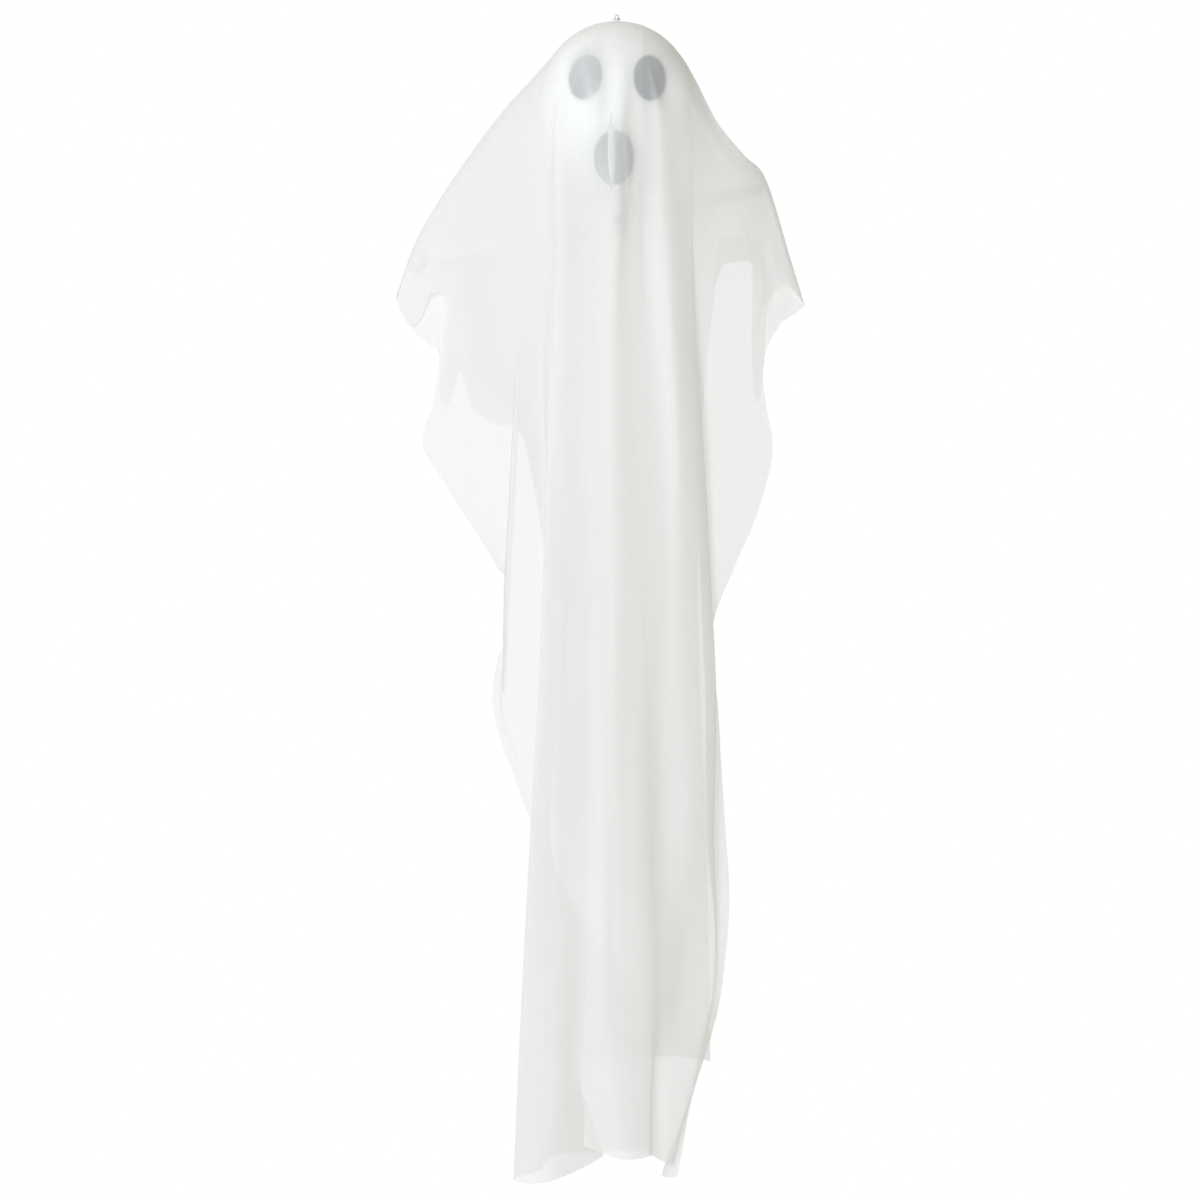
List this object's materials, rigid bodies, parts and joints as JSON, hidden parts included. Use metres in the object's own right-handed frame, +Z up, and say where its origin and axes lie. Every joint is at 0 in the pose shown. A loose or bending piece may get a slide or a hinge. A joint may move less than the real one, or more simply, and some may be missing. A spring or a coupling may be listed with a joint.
{
  "type": "hanging ghost decoration",
  "caption": "Hanging ghost decoration: a sheer white cloth draped over a hollow head with a felt face and over a rocking crossbar, hung from a small swivel eye at the crown.",
  "frame": {"origin": "centre of the hole in the hanging eye at the crown", "axes": "+Z up, +X to the viewer's right when facing the ghost's face, the face looks along -Y"},
  "size_m": [0.4118, 0.1809, 1.1682],
  "materials": {
    "gauze": "matte",
    "white_plastic": "matte",
    "charcoal_felt": "matte",
    "grey_felt": "matte",
    "white_wood": "satin",
    "zinc_steel": "satin",
    "white_metal": "satin",
    "brass": "satin"
  },
  "bodies": {
    "hanger": {"hanging_eye": "zinc_steel", "swivel_washer": "zinc_steel", "lock_nut": "zinc_steel"},
    "ghost": {"crown_eyelet": "white_metal", "sheet": "gauze", "head_front_shell": "white_plastic", "head_back_shell": "white_plastic", "left_eye_patch": "grey_felt", "right_eye_patch": "charcoal_felt", "mouth_patch": "grey_felt", "core_dowel": "white_wood", "pivot_bolt": "zinc_steel", "pivot_washers": "zinc_steel", "wing_nut": "zinc_steel"},
    "rocker": {"crossbar": "white_wood", "pivot_bush": "brass", "left_end_ball": "white_wood", "right_end_ball": "white_wood"}
  },
  "joints": [
    {"name": "hanger_swivel", "type": "hinge", "parent": "hanger", "child": "ghost", "pos_m": [0, 0, -0.03], "axis": [0, 0, 1], "continuous": true},
    {"name": "crossbar_rock", "type": "hinge", "parent": "ghost", "child": "rocker", "pos_m": [0, 0, -0.204], "axis": [0, 1, 0], "range_deg": [0, 24], "deforming": ["sheet"]}
  ]
}
